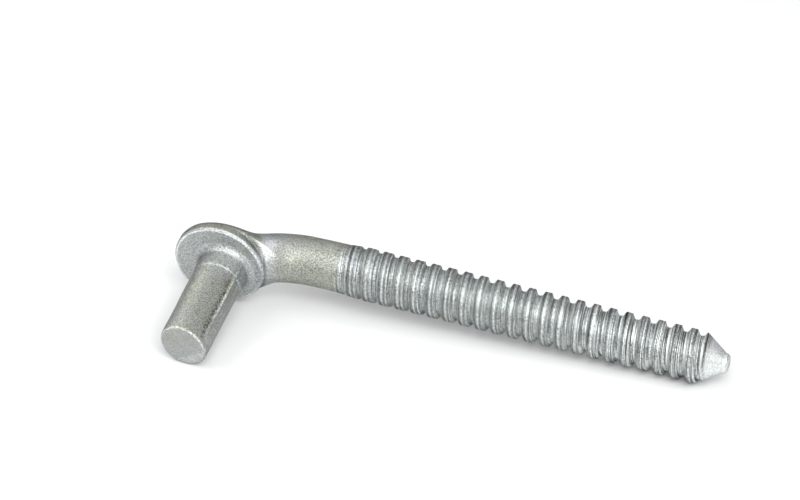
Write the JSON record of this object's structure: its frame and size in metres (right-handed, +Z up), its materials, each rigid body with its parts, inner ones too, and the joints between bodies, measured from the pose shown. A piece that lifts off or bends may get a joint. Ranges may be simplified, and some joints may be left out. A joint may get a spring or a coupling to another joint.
{
  "type": "gate hinge pin",
  "caption": "Screw hook that carries a gate: an upright pin on a forged round shoulder, bent into a shank with a coarse wood-screw thread and a blunt point.",
  "frame": {"origin": "middle of the bounding box on the floor, with the part lying loose as it comes to rest", "axes": "+Z up from the floor, +X along the shank towards its point as seen from above, the pin's free end towards -Y"},
  "size_m": [0.1722, 0.057, 0.0285],
  "materials": {
    "zinc_plated_steel": "bright zinc plating over forged and rolled steel, grainy and half dull"
  },
  "bodies": {
    "root": {"hinge_pin": "zinc_plated_steel"}
  },
  "joints": []
}
